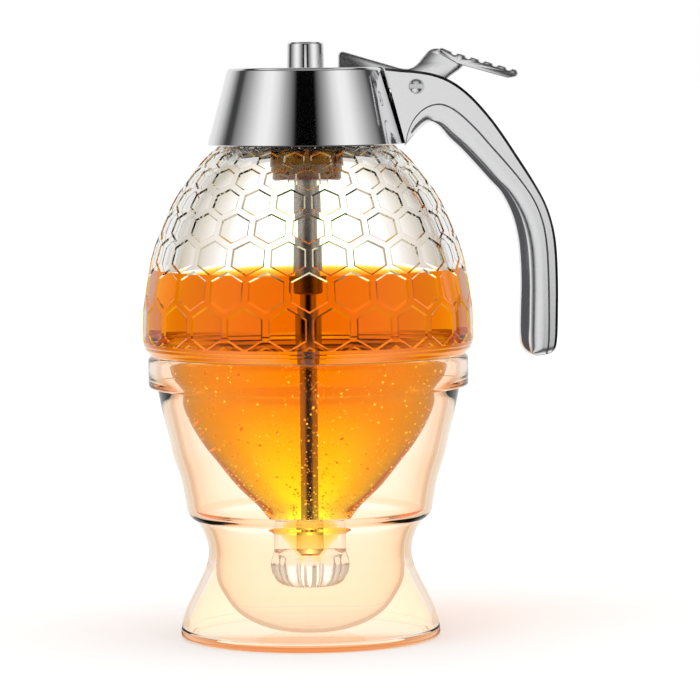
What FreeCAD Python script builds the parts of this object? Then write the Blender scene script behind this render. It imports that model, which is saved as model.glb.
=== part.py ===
import FreeCAD, Part
import math
import os

# Honey dispenser: a filled acrylic jar with a lever-worked valve, standing in its drip stand.
# Millimetres. The origin is on the jar's axis at the underside of the base plate, +Z up,
# and the handle is on the +X side.

# ---- jar -------------------------------------------------------------------
rim_height = 82.0            # underside of the jar's rim, which rests on the stand
band_height = 86.2           # the relief starts above the rim's plain band
dome_middle = 89.0           # level at which the dome is widest
dome_radius = 47.9
dome_rise = 63.0             # vertical half axis of the dome's ellipse
dome_wall = 2.5
shoulder_height = 142.5      # flat ledge that carries the cap
neck_radius = 22.0
neck_bore = 19.5
neck_top = 155.0
rim_outline = [(45.2, rim_height), (46.6, 83.2), (47.4, 85.6), (dome_radius, dome_middle)]
step_radius = 41.0           # where the lower body starts below the rim
step_height = 80.6
shoulder_outline = [(dome_radius - dome_wall, dome_middle), (44.6, 86.4), (42.4, 84.7), (40.0, 83.5),
                    (38.5, 81.2), (37.7, 77.6)]
funnel_wall = 2.0
funnel_outline = [(38.3, 72.0), (35.3, 64.0), (31.0, 56.7), (26.3, 50.3),
                  (20.1, 43.0), (13.6, 36.4), (10.5, 31.2)]
nozzle_radius = 10.5
nozzle_foot = (7.4, 14.5)
nozzle_swell = (10.8, 16.6)
lip = (11.9, 20.8)           # the nozzle's widest place
lip_swell = (11.5, 23.1)
lip_top = 24.5
outlet_radius = 1.7
outlet_top = 21.5            # tip of the inner funnel

# ---- honeycomb relief --------------------------------------------------------
cells_round = 24
cell_rows = [81.1, 91.9, 102.6, 111.9, 120.1, 127.3, 133.7, 138.8]
cell_rib = 1.7
cell_depth = 0.55
cutter_length = 4.0

# ---- honey -------------------------------------------------------------------
honey_level = 106.0
play = 0.3                   # room between the honey and the pieces that move through it

# ---- cap ---------------------------------------------------------------------
cap_bottom_radius = 28.7
cap_top_radius = 22.9
cap_top = 164.7
cap_wall = 1.9
cap_edge = 1.2
knob_hole = 5.95

# ---- plunger and its guide ------------------------------------------------------
knob_top = 172.1
knob_bottom = 158.0
knob_top_radius = 5.3
knob_low_radius = 5.65
knob_edge = 0.9
rod_radius = 2.2
rod_bottom = 34.0
stopper_radius = 3.4
stopper_shoulder = 25.2
stopper_tip = 22.4
stopper_tip_radius = 1.3
lift = 6.7                   # how far the plunger rises
guide_radius = 3.9
guide_bore = 2.5
guide_bottom = 98.0
guide_collar_radius = 11.0
guide_collar_bottom = 133.5
guide_flange = 1.5

# ---- handle --------------------------------------------------------------------
handle_half = 6.5
handle_root = (20.0, 163.9)
horn_tip = (28.4, 141.6)
handle_line = [horn_tip, (31.6, 146.2), (35.4, 148.5), (38.6, 146.2), (43.6, 141.2), (50.2, 134.4),
               (57.3, 125.4), (60.6, 115.5), (61.4, 104.0), (61.3, 88.0), (61.7, 84.0), (63.7, 81.5),
               (66.8, 80.6), (69.9, 81.5), (71.9, 84.0), (72.2, 88.0), (72.3, 104.0), (71.7, 114.0),
               (68.6, 125.5), (60.6, 139.1), (52.7, 150.5), (45.8, 157.9), (38.0, 162.3), (31.1, 163.4),
               handle_root]
handle_foot = 80.6
handle_edge = 2.4

# ---- thumb lever ---------------------------------------------------------------
pivot = (31.8, 159.1)
pin_radius = 2.0
pin_run = 0.06
pin_proud = 0.25
pin_slot = 0.8
lever_half = 3.4
slot_half = 3.7
slot_floor = 153.3
slot_end = 48.0
cap_slot_start = 7.6
cap_slot_floor = 157.4
hub_radius = 4.6
hub_start = (36.2, 157.4)
hub_end = (27.6, 157.4)
tongue_outline = [hub_end, (26.6, 158.3), (10.2, 158.3), (9.4, 159.2), (9.4, 167.4)]
tongue_swell = (9.9, 168.8)
tongue_top = (11.4, 169.2)
neck_outline = [(27.4, 164.4), (30.0, 164.3), (32.4, 165.7), (34.6, 168.4), (37.0, 169.9)]
pad_half = 7.5
pad_start = (38.6, 170.0)
pad_end = (61.2, 163.3)
pad_thick = 2.9
pad_round = 1.16
web_outline = [pad_start, (46.4, 167.6), (45.6, 164.6), (41.6, 162.4), hub_start]
notches = 5
notch_radius = 1.1
notch_rise = 0.55            # the notches' centres above the pad's face
notch_pitch = 4.0
last_notch = 3.0             # from the pad's free end

# ---- stand ---------------------------------------------------------------------
base_radius = 37.7
base_plate = 1.1
base_rim = 2.4
base_rim_width = 2.9
base_edge = 0.5
collar_radius = 46.4
collar_bottom = 72.7
collar_edge = 1.5
collar_foot = 1.0
collar_inside = [(collar_radius, rim_height), (collar_radius, 78.4), (46.2, 75.4), (45.2, 72.6), (43.6, 69.6)]
belly_outline = [(43.9, 72.7), (42.3, 64.8), (40.6, 57.9), (39.4, 52.6), (37.3, 46.0),
                 (36.2, 40.5), (35.6, 36.8)]
waist_outline = [(35.6, 36.8), (34.6, 35.0), (32.5, 33.2), (30.7, 30.0), (29.5, 25.4), (29.9, 21.4)]
skirt_outline = [(29.9, 21.4), (31.4, 17.4), (34.8, 10.8), (36.7, 6.6), (37.6, 2.4)]
stand_wall = 1.9
cup_gap = 0.3                # air between the outer shell and the inner cup
cup_wall = 1.0
cup_top = 81.4
bowl_start = 24.5            # below this the cup leaves the shell and rounds to its bowl
bowl_floor = base_plate + 0.05
bowl_outline = [(27.4, 20.0), (27.0, 16.4), (25.6, 12.9), (22.0, 7.7), (17.0, 4.2), (10.0, 1.9),
                (0.0, bowl_floor)]

origin = FreeCAD.Vector(0, 0, 0)
up = FreeCAD.Vector(0, 0, 1)
across = FreeCAD.Vector(0, 1, 0)


def at(point):
    """A point of a radius-and-height outline, in the XZ plane."""
    return FreeCAD.Vector(point[0], 0, point[1])


def straight(*points):
    """The straight edges that join the points in turn."""
    return [Part.makeLine(at(a), at(b)) for a, b in zip(points, points[1:])]


def bend(start, middle, end):
    """An arc through three points."""
    return Part.Arc(at(start), at(middle), at(end)).toShape()


def smooth(points):
    """One smooth edge through the points."""
    spline = Part.BSplineCurve()
    spline.interpolate([at(point) for point in points])
    return spline.toShape()


def inset(points, distance):
    """The points of an outline that runs downwards, moved towards the axis."""
    moved = []
    for index, (radius, height) in enumerate(points):
        before = points[max(index - 1, 0)]
        after = points[min(index + 1, len(points) - 1)]
        run = after[0] - before[0]
        drop = after[1] - before[1]
        length = math.hypot(run, drop)
        moved.append((radius + distance * drop / length, height - distance * run / length))
    return moved


def turned(edges):
    """The solid that a closed outline makes round the Z axis."""
    face = Part.Face(Part.Wire(Part.__sortEdges__(edges)))
    solid = face.revolve(origin, up, 360)
    if solid.Volume < 0:
        solid.reverse()
    return solid


def cylinder(radius, low, high):
    """An upright cylinder on the axis."""
    return Part.makeCylinder(radius, high - low, FreeCAD.Vector(0, 0, low))


def block(x_range, half, z_range):
    """A box that is centred on the XZ plane."""
    corner = FreeCAD.Vector(x_range[0], -half, z_range[0])
    return Part.makeBox(x_range[1] - x_range[0], 2 * half, z_range[1] - z_range[0], corner)


def plate(edges, half):
    """A closed XZ outline, pulled to both sides of the XZ plane."""
    face = Part.Face(Part.Wire(Part.__sortEdges__(edges)))
    face.translate(across * -half)
    return face.extrude(across * (2 * half))


def dome_at(height, wall=0.0):
    """The dome's radius at a height, wall millimetres inside its outer face."""
    rise = (height - dome_middle) / (dome_rise - wall)
    return (dome_radius - wall) * math.sqrt(1 - rise * rise)


def dome_line(low, high, wall=0.0, steps=10):
    """Points up the dome's ellipse, evenly spaced in angle."""
    first = math.asin((low - dome_middle) / (dome_rise - wall))
    last = math.asin((high - dome_middle) / (dome_rise - wall))
    angles = [first + (last - first) * step / steps for step in range(steps + 1)]
    return [((dome_radius - wall) * math.cos(angle), dome_middle + (dome_rise - wall) * math.sin(angle))
            for angle in angles]


def jar_inside():
    """The jar's inner outline below the dome, from the dome's middle down to the outlet."""
    funnel = inset(funnel_outline, funnel_wall)[:-1]
    tip = (outlet_radius, outlet_top)
    return [smooth(shoulder_outline + funnel[:1]), smooth(funnel)] + straight(funnel[-1], tip)


def neck_inside():
    """The height at which the inner dome meets the neck's bore."""
    part_way = neck_bore / (dome_radius - dome_wall)
    return dome_middle + (dome_rise - dome_wall) * math.sqrt(1 - part_way * part_way)


def cell_prisms():
    """One six-sided cutter for each cell of the relief, square to the dome."""
    prisms = []
    for row, height in enumerate(cell_rows):
        radius = dome_at(height)
        below = cell_rows[row] - cell_rows[max(row - 1, 0)]
        above = cell_rows[min(row + 1, len(cell_rows) - 1)] - cell_rows[row]
        pitch = max(below, above) if 0 in (below, above) else (below + above) / 2
        lean = math.atan2(radius * dome_rise ** 2, (height - dome_middle) * dome_radius ** 2)
        lean = math.pi / 2 - lean
        half_width = math.pi * radius / cells_round - cell_rib / 2
        half_height = pitch * 2 / 3 / math.cos(lean) - cell_rib * 0.58
        prism = hexagon_prism(half_width, half_height)
        prism.translate(FreeCAD.Vector(-cell_depth, 0, 0))
        prism.rotate(origin, across, -math.degrees(lean))
        prism.translate(FreeCAD.Vector(radius, 0, height))
        for place in range(cells_round):
            copy = prism.copy()
            copy.rotate(origin, up, (place + row % 2 / 2) * 360 / cells_round - 90)
            prisms.append(copy)
    return prisms


def hexagon_prism(half_width, half_height):
    """A prism along +X on a hexagon with its points up and down."""
    corners = [(0, half_height), (half_width, half_height / 2), (half_width, -half_height / 2),
               (0, -half_height), (-half_width, -half_height / 2), (-half_width, half_height / 2)]
    ring = [FreeCAD.Vector(0, y, z) for y, z in corners]
    return Part.Face(Part.makePolygon(ring + ring[:1])).extrude(FreeCAD.Vector(cutter_length, 0, 0))


def jar_outside():
    """The jar's outer outline, from the outlet round the nozzle and up to the dome's middle."""
    bottom = nozzle_foot[1]
    outline = straight((outlet_radius, outlet_top), (outlet_radius, bottom), nozzle_foot)
    outline.append(bend(nozzle_foot, nozzle_swell, lip))
    outline.append(bend(lip, lip_swell, (nozzle_radius, lip_top)))
    outline += straight((nozzle_radius, lip_top), funnel_outline[-1])
    outline.append(smooth(funnel_outline))
    outline += straight(funnel_outline[0], (step_radius, step_height), (step_radius, rim_height),
                        rim_outline[0])
    outline.append(smooth(rim_outline))
    return outline


def make_jar():
    """The clear jar: honeycomb dome, rim, funnel and nozzle in one wall."""
    outer_dome = dome_line(dome_middle, shoulder_height)
    inner_dome = dome_line(dome_middle, neck_inside(), dome_wall)
    outline = jar_outside() + [smooth(outer_dome)]
    outline += straight(outer_dome[-1], (neck_radius, shoulder_height), (neck_radius, neck_top),
                        (neck_bore, neck_top), inner_dome[-1])
    outline.append(smooth(inner_dome))
    jar = turned(outline + jar_inside())
    above_band = cylinder(dome_radius + cutter_length, band_height, shoulder_height)
    cutters = [prism.common(above_band) if prism.BoundBox.ZMin < band_height else prism
               for prism in cell_prisms()]
    return jar.cut(Part.makeCompound(cutters))


def make_honey():
    """The honey inside the jar, hollowed round the guide tube, the rod and the stopper."""
    inner_dome = dome_line(dome_middle, honey_level, dome_wall)
    outline = jar_inside() + [smooth(inner_dome)]
    outline += straight(inner_dome[-1], (0, honey_level), (0, outlet_top), (outlet_radius, outlet_top))
    honey = turned(outline)
    stopper_room = cylinder(stopper_radius + play, outlet_top - 1, rod_bottom + lift + play)
    rod_room = cylinder(rod_radius + play, rod_bottom, honey_level + 1)
    tube_room = cylinder(guide_radius, guide_bottom, honey_level + 1)
    return honey.cut(Part.makeCompound([stopper_room.fuse([rod_room, tube_room])]))


def cap_cone(inset_by, low, high):
    """The cap's cone between two heights, moved in by inset_by."""
    slope = (cap_bottom_radius - cap_top_radius) / (cap_top - shoulder_height)
    low_radius = cap_bottom_radius - slope * (low - shoulder_height) - inset_by
    high_radius = cap_bottom_radius - slope * (high - shoulder_height) - inset_by
    return Part.makeCone(low_radius, high_radius, high - low, FreeCAD.Vector(0, 0, low))


def make_cap():
    """The metal cap: a hollow cone with the knob's hole and the lever's slot."""
    cap = cap_cone(0, shoulder_height, cap_top)
    top_ring = [edge for edge in cap.Edges if edge.BoundBox.ZMin > cap_top - 0.1]
    cap = cap.makeFillet(cap_edge, top_ring)
    hollow = cap_cone(cap_wall, shoulder_height + cap_wall, cap_top - cap_wall)
    mouth = cylinder(neck_radius, shoulder_height - 1, shoulder_height + 2 * cap_wall)
    hole = cylinder(knob_hole, cap_top - 5, cap_top + 1)
    slot = block((cap_slot_start, cap_bottom_radius), slot_half, (cap_slot_floor, cap_top + 1))
    return cap.cut([hollow, mouth, hole, slot])


def make_guide():
    """The steel tube that guides the rod, with its collar and the flange on the neck."""
    tube = cylinder(guide_radius, guide_bottom, neck_top)
    collar = cylinder(guide_collar_radius, guide_collar_bottom, neck_top)
    flange = cylinder(neck_radius, neck_top, neck_top + guide_flange)
    bore = cylinder(guide_bore, guide_bottom - 1, neck_top + guide_flange + 1)
    return tube.fuse([collar, flange]).cut(bore).removeSplitter()


def make_plunger():
    """The knob and the long rod below it."""
    knob = Part.makeCone(knob_low_radius, knob_top_radius, knob_top - knob_bottom,
                         FreeCAD.Vector(0, 0, knob_bottom))
    rim = [edge for edge in knob.Edges if edge.BoundBox.ZMin > knob_top - 0.1]
    knob = knob.makeFillet(knob_edge, rim)
    return knob.fuse(cylinder(rod_radius, rod_bottom, knob_bottom + 1)).removeSplitter()


def make_stopper():
    """The soft stopper under the rod, which closes the outlet."""
    outline = straight((0, rod_bottom), (stopper_radius, rod_bottom), (stopper_radius, stopper_shoulder),
                       (stopper_tip_radius, stopper_tip), (0, stopper_tip), (0, rod_bottom))
    return turned(outline)


def handle_slot():
    """The space that the lever turns in."""
    return block((cap_top_radius - 4, slot_end), slot_half, (slot_floor, cap_top + 6))


def make_handle():
    """The curved metal handle, forked at its root round the lever."""
    inner_corner = (handle_root[0], horn_tip[1])
    outline = [smooth(handle_line)] + straight(handle_root, inner_corner, horn_tip)
    handle = plate(outline, handle_half)
    long_edges = [edge for edge in handle.Edges if edge.Length > 3 * (handle_line[0][1] - handle_foot)]
    handle = handle.makeFillet(handle_edge, long_edges)
    bore = Part.makeCylinder(pin_radius, 4 * handle_half, at(pivot) - across * 2 * handle_half, across)
    inside_cap = cap_cone(0, shoulder_height - 10, cap_top + 10)
    return handle.cut([inside_cap, handle_slot(), bore])


def make_lever():
    """The thumb lever: tongue over the cap, hub on the pin, neck and notched pad."""
    outline = straight(*tongue_outline)
    outline.append(bend(tongue_outline[-1], tongue_swell, tongue_top))
    outline += straight(tongue_top, neck_outline[0])
    outline.append(smooth(neck_outline))
    outline += straight(neck_outline[-1], *web_outline)
    outline.append(bend(hub_start, (pivot[0], pivot[1] - hub_radius), hub_end))
    lever = plate(outline, lever_half).fuse(make_pad()).removeSplitter()
    hole = Part.makeCylinder(pin_radius + pin_run, 4 * lever_half, at(pivot) - across * 2 * lever_half, across)
    return lever.cut(hole)


def make_pad():
    """The thumb pad, with its notches across the top."""
    run = FreeCAD.Vector(pad_end[0] - pad_start[0], 0, pad_end[1] - pad_start[1])
    length = run.Length
    pad = Part.makeBox(length, 2 * pad_half, pad_thick, FreeCAD.Vector(0, -pad_half, -pad_thick))
    ends = [edge for edge in pad.Edges if abs(edge.BoundBox.YLength - 2 * pad_half) < 0.01]
    pad = pad.makeFillet(pad_round, ends)
    grooves = []
    for index in range(notches):
        middle = length - last_notch - notch_pitch * index
        start = FreeCAD.Vector(middle, -pad_half - 1, notch_rise)
        grooves.append(Part.makeCylinder(notch_radius, 2 * pad_half + 2, start, across))
    pad = pad.cut(grooves)
    pad.rotate(origin, across, math.degrees(math.atan2(-run.z, run.x)))
    pad.translate(at(pad_start))
    return pad


def make_pin():
    """The lever's hinge pin, with a screwdriver slot in each end."""
    half = handle_half + pin_proud
    pin = Part.makeCylinder(pin_radius, 2 * half, at(pivot) - across * half, across)
    for side in (-half, half - pin_slot):
        low = pivot[1] - pin_slot / 2
        corner = FreeCAD.Vector(pivot[0] - pin_radius, side, low)
        pin = pin.cut(Part.makeBox(2 * pin_radius, pin_slot, pin_slot, corner))
    return pin


def wall_line():
    """Points down the stand's wall, without the corners of its collar."""
    return collar_inside + belly_outline[1:] + waist_outline[1:] + skirt_outline[1:]


def collar_edges():
    """The outside of the stand's collar, with its rounded corners."""
    top = rim_height
    cut_in = collar_edge * (1 - math.sqrt(0.5))
    tuck = collar_foot * (1 - math.sqrt(0.5))
    top_start = (collar_radius - collar_edge, top)
    top_end = (collar_radius, top - collar_edge)
    foot_start = (collar_radius, collar_bottom + collar_foot)
    foot_end = (collar_radius - collar_foot, collar_bottom)
    return (straight((0, top), top_start)
            + [bend(top_start, (collar_radius - cut_in, top - cut_in), top_end)]
            + straight(top_end, foot_start)
            + [bend(foot_start, (collar_radius - tuck, collar_bottom + tuck), foot_end)]
            + straight(foot_end, belly_outline[0]))


def make_stand():
    """The outer shell of the stand: collar, belly, waist and skirt."""
    outline = collar_edges() + [smooth(belly_outline), smooth(waist_outline), smooth(skirt_outline)]
    outline += straight(skirt_outline[-1], (0, base_rim), (0, rim_height))
    inner = inset(wall_line(), stand_wall)
    above = rim_height + 2
    hollow = [smooth(inner)] + straight(inner[-1], (inner[-1][0], 0), (0, 0), (0, above), (inner[0][0], above),
                                        inner[0])
    return turned(outline).cut(turned(hollow))


def cup_outline(depth):
    """A face of the inner cup, depth millimetres inside its outer face, from the rim to the bowl's bottom."""
    wall = [point for point in inset(wall_line(), stand_wall + cup_gap + depth) if point[1] > bowl_start]
    bowl = inset(bowl_outline + [(-bowl_outline[-2][0], bowl_outline[-2][1])], depth)[:-1]
    return wall + bowl


def cup_solid(depth, top):
    """What fills the cup up to a height, depth millimetres inside its outer face."""
    face = cup_outline(depth)
    return turned([smooth(face)] + straight(face[-1], (0, top), (face[0][0], top), face[0]))


def make_cup():
    """The inner cup, whose round bowl catches the drips."""
    above = rim_height + 8
    body = cup_solid(0, above)
    return body.cut([cup_solid(cup_wall, above + 1), cylinder(collar_radius + 10, cup_top, above + 5)])


def make_base():
    """The round plate under the stand, thicker at its rim."""
    base = cylinder(base_radius, 0, base_rim)
    base = base.makeFillet(base_edge, [edge for edge in base.Edges if edge.BoundBox.XLength > 10
                                       and edge.BoundBox.ZLength < 0.1])
    return base.cut(cylinder(base_radius - base_rim_width, base_plate, base_rim + 1))


makers = {
    "jar": make_jar,
    "honey": make_honey,
    "cap": make_cap,
    "rod_guide": make_guide,
    "plunger": make_plunger,
    "stopper": make_stopper,
    "handle": make_handle,
    "thumb_lever": make_lever,
    "hinge_pin": make_pin,
    "stand_shell": make_stand,
    "drip_cup": make_cup,
    "base_plate": make_base,
}

os.makedirs("parts", exist_ok=True)
for node, make in makers.items():
    shape = make()
    if len(shape.Solids) == 1:
        shape = shape.Solids[0]
    print(node, "valid", shape.isValid(), "solids", len(shape.Solids), "volume", round(shape.Volume, 1))
    shape.exportStep("parts/" + node + ".step")
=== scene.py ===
import math
import random

import bmesh
import bpy
from mathutils import Matrix, Vector


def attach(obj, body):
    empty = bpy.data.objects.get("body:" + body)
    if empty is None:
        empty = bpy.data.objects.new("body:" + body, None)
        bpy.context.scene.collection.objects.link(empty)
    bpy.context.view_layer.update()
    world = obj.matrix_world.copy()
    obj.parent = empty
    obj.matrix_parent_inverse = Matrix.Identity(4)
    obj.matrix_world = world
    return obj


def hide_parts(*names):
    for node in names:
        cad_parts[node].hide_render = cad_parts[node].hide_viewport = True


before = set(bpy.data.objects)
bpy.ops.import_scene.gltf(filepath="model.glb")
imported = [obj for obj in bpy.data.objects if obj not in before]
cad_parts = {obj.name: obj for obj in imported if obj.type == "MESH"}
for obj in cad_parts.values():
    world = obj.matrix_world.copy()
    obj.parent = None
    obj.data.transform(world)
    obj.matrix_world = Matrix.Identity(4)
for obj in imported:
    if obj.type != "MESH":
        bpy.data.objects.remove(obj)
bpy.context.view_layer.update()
print("frame loaded,", len(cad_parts), "nodes")

mm = 0.001  # the pieces' sizes below are in millimetres
fixedBody = "dispenser"
leverBody = "lever"
valveBody = "valve"


def dropAll():
    bpy.ops.object.select_all(action="DESELECT")


def pickAll():
    bpy.ops.mesh.select_all(action="SELECT")


def leaveEdit():
    bpy.ops.object.mode_set(mode="OBJECT")


def activate(piece):
    dropAll()
    piece.select_set(True)
    bpy.context.view_layer.objects.active = piece


def named(name):
    piece = bpy.context.object
    piece.name = name
    piece.data.name = name
    return piece


def editAll(piece):
    activate(piece)
    bpy.ops.object.mode_set(mode="EDIT")
    pickAll()


def selectWhere(piece, test):  # edit mode: leaves just the vertices selected for which test(vertex) is true
    bpy.ops.mesh.select_all(action="DESELECT")
    shape = bmesh.from_edit_mesh(piece.data)
    shape.select_mode = {"VERT"}
    for vertex in shape.verts:
        vertex.select_set(bool(test(vertex)))
    shape.select_flush(True)
    bmesh.update_edit_mesh(piece.data)


def flowPoint(a, b, c, d, t):  # a point between b and c on a smooth curve
    return 0.5 * (2 * b + (c - a) * t + (2 * a - 5 * b + 4 * c - d) * t * t
                  + (3 * b - a - 3 * c + d) * t ** 3)


def flowLine(points, perSpan=5):  # a smooth line through the points
    ends = [points[0]] + list(points) + [points[-1]]
    line = []
    for i in range(1, len(ends) - 2):
        a, b, c, d = (Vector(p) for p in ends[i - 1:i + 3])
        line += [flowPoint(a, b, c, d, step / perSpan) for step in range(perSpan)]
    line.append(Vector(points[-1]))
    return [tuple(p) for p in line]


# Points on an arc, angles in degrees from +X (or outwards) towards +Z.
def arcLine(centre, radius, start, end, steps):
    angles = [math.radians(start + (end - start) * i / steps) for i in range(steps + 1)]
    return [(centre[0] + radius * math.cos(a), centre[1] + radius * math.sin(a)) for a in angles]


# One vertex, extruded along a line of (X, Z) points in millimetres. Stays in edit mode.
def traceLine(name, line, closed=False):
    dropAll()
    bpy.ops.mesh.primitive_plane_add(size=mm)
    piece = named(name)
    bpy.ops.object.mode_set(mode="EDIT")
    pickAll()
    bpy.ops.mesh.merge(type="CENTER")
    bpy.ops.transform.translate(value=(line[0][0] * mm, 0, line[0][1] * mm))
    for before, after in zip(line, line[1:]):
        step = ((after[0] - before[0]) * mm, 0, (after[1] - before[1]) * mm)
        bpy.ops.mesh.extrude_vertices_move(TRANSFORM_OT_translate={"value": step})
    if closed:
        selectWhere(piece, lambda v: len(v.link_edges) < 2)
        bpy.ops.mesh.edge_face_add()
    return piece


def turnLine(name, line, closed=False, steps=128):  # a turned piece: the line spun round the Z axis
    piece = traceLine(name, line, closed)
    pickAll()
    bpy.ops.mesh.spin(steps=steps, angle=2 * math.pi, center=(0, 0, 0), axis=(0, 0, 1))
    pickAll()
    bpy.ops.mesh.remove_doubles(threshold=0.004 * mm)
    bpy.ops.mesh.normals_make_consistent(inside=False)
    leaveEdit()
    return piece


# A plate: a closed line filled, pulled out to both sides of the XZ plane and its edges rounded.
def plateLine(name, line, half, bevel):
    piece = traceLine(name, line, closed=True)
    pickAll()
    bpy.ops.mesh.edge_face_add()
    bpy.ops.transform.translate(value=(0, -half * mm, 0))
    bpy.ops.mesh.extrude_region_move(TRANSFORM_OT_translate={"value": (0, 2 * half * mm, 0)})
    pickAll()
    bpy.ops.mesh.normals_make_consistent(inside=False)
    shape = bmesh.from_edit_mesh(piece.data)
    bpy.ops.mesh.select_all(action="DESELECT")
    shape.select_mode = {"EDGE"}
    for edge in shape.edges:
        flat = abs(edge.verts[0].co.y - edge.verts[1].co.y) < 0.01 * mm
        edge.select_set(flat)
    bmesh.update_edit_mesh(piece.data)
    bpy.ops.mesh.bevel(offset=bevel * mm, segments=3, profile=0.5, clamp_overlap=True)
    leaveEdit()
    return piece


def joinPieces(name, *pieces):
    dropAll()
    for piece in pieces:
        piece.select_set(True)
    bpy.context.view_layer.objects.active = pieces[0]
    bpy.ops.object.join()
    return named(name)


def applyModifier(piece, kind, **settings):
    activate(piece)
    bpy.ops.object.modifier_add(type=kind)
    modifier = piece.modifiers[-1]
    for key, value in settings.items():
        setattr(modifier, key, value)
    bpy.ops.object.modifier_apply(modifier=modifier.name)


def cutAway(piece, tool, operation="DIFFERENCE"):
    applyModifier(piece, "BOOLEAN", operation=operation, solver="EXACT", object=tool)
    bpy.data.objects.remove(tool)


def cutterBox(low, high):  # a box for cutting with, from corners in millimetres
    middle = [(a + b) / 2 * mm for a, b in zip(low, high)]
    dropAll()
    bpy.ops.mesh.primitive_cube_add(size=1, location=middle,
                                    scale=[(b - a) * mm for a, b in zip(low, high)])
    return bpy.context.object


def crossPin(name, place, radius, half):  # a cylinder across the XZ plane at a place in millimetres
    dropAll()
    bpy.ops.mesh.primitive_cylinder_add(vertices=48, radius=radius * mm, depth=2 * half * mm,
                                        location=(place[0] * mm, 0, place[1] * mm),
                                        rotation=(math.pi / 2, 0, 0))
    bpy.ops.object.transform_apply(location=True, rotation=True, scale=True)
    return named(name)


def giveFinishes(piece, *finishes):
    piece.data.materials.clear()
    for finish in finishes:
        piece.data.materials.append(finish)


# The last step of a piece: the angle in degrees from which an edge stays sharp, the body it moves with,
# its finish, and the CAD nodes it stands for.
def putOn(piece, sharp, body, slotName, finish, *nodes):
    activate(piece)
    bpy.ops.object.shade_smooth_by_angle(angle=math.radians(sharp))
    if finish:
        giveFinishes(piece, finish)
    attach(piece, body)
    if nodes:
        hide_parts(*nodes)


def paint(hexColour):  # an sRGB hex colour as the linear colour that a socket takes
    parts = [int(hexColour[i:i + 2], 16) / 255 for i in (1, 3, 5)]
    return [p / 12.92 if p <= 0.04045 else ((p + 0.055) / 1.055) ** 2.4 for p in parts] + [1]


# Adds a node: settings are its properties or its inputs' values, links its inputs' sources.
def addNode(tree, kind, settings=None, links=None):
    node = tree.nodes.new("ShaderNode" + kind)
    for key, value in (settings or {}).items():
        if isinstance(key, int) or key in node.inputs:
            node.inputs[key].default_value = value
        else:
            setattr(node, key, value)
    for key, source in (links or {}).items():
        tree.links.new(source, node.inputs[key])
    return node


def newFinish(name):
    finish = bpy.data.materials.new(name)
    finish.use_nodes = True
    finish.node_tree.nodes.clear()
    return finish, finish.node_tree


# For a clear piece: which rays pass straight through it, and which of those come from metal.
def clearWays(tree, look):
    path = addNode(tree, "LightPath")
    outside = addNode(tree, "Math", {"operation": "LESS_THAN", 1: 0.5},
                      {0: path.outputs["Transmission Depth"]})
    fromMetal = addNode(tree, "Math", {"operation": "MULTIPLY"},
                        {0: outside.outputs[0], 1: path.outputs["Is Glossy Ray"]})
    straight = addNode(tree, "Math", {"operation": "MAXIMUM"},
                       {0: fromMetal.outputs[0], 1: path.outputs["Is Shadow Ray"]})
    for depth, most in (("Transmission Depth", "wallsDeep"), ("Ray Depth", "raysDeep")):
        if most not in look:
            continue
        far = addNode(tree, "Math", {"operation": "GREATER_THAN", 1: look[most] - 0.5},
                      {0: path.outputs[depth]})
        straight = addNode(tree, "Math", {"operation": "MAXIMUM"},
                           {0: straight.outputs[0], 1: far.outputs[0]})
    return straight.outputs[0], fromMetal.outputs[0]


def clearFinish(name, look):  # a clear solid. Where a mirror tone is given, metal mirrors the piece as a flat painted glow of that tone
    finish, tree = newFinish(name)
    colour = paint(look.get("colour", "#FFFFFF"))
    # glow, when given, is a painted glow in the piece's own colour
    body = addNode(tree, "BsdfPrincipled",
                   {"Base Color": colour, "Roughness": look.get("roughness", 0.0), "IOR": look["ior"],
                    "Specular Tint": paint(look.get("mirror", "#FFFFFF")),
                    "Transmission Weight": look.get("clear", 1.0),
                    "Emission Color": colour, "Emission Strength": look.get("glow", 0.0)})
    straight, fromMetal = clearWays(tree, look)
    through = addNode(tree, "BsdfTransparent", {"Color": paint("#FFFFFF")})
    surface = addNode(tree, "MixShader", links={0: straight, 1: body.outputs[0], 2: through.outputs[0]})
    # what metal mirrors here is a flat painted glow, a painted reflection
    if "paintedMirrorGlow" in look:
        plain = addNode(tree, "Emission", {"Color": paint(look["paintedMirrorGlow"])})
        surface = addNode(tree, "MixShader",
                          links={0: fromMetal, 1: surface.outputs[0], 2: plain.outputs[0]})
    output = addNode(tree, "OutputMaterial", links={"Surface": surface.outputs[0]})
    if "depthTint" in look:
        volume = addNode(tree, "VolumeAbsorption",
                         {"Color": paint(look["depthTint"]), "Density": look["density"]})
        tree.links.new(volume.outputs[0], output.inputs["Volume"])
    return finish


def metalFinish(name, look):  # a plated or turned metal with a fine grain
    finish, tree = newFinish(name)
    low, high = look["rough"]
    texture = addNode(tree, "TexCoord")
    stretch = addNode(tree, "Mapping", {"Scale": look["stretch"]},
                      {"Vector": texture.outputs["Object"]})
    grain = addNode(tree, "TexNoise", {"Scale": 1 / (look["grainMm"] * mm), "Detail": 3.0},
                    {"Vector": stretch.outputs[0]})
    rough = addNode(tree, "MapRange",
                    {"From Min": 0.3, "From Max": 0.7, "To Min": low, "To Max": high},
                    {"Value": grain.outputs["Fac"]})
    bump = addNode(tree, "Bump", {"Strength": look["bump"], "Distance": 0.01 * mm},
                   {"Height": grain.outputs["Fac"]})
    body = addNode(tree, "BsdfPrincipled", {"Base Color": paint(look["colour"]), "Metallic": 1.0},
                   {"Roughness": rough.outputs[0], "Normal": bump.outputs["Normal"]})
    addNode(tree, "OutputMaterial", links={"Surface": body.outputs[0]})
    return finish


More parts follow.
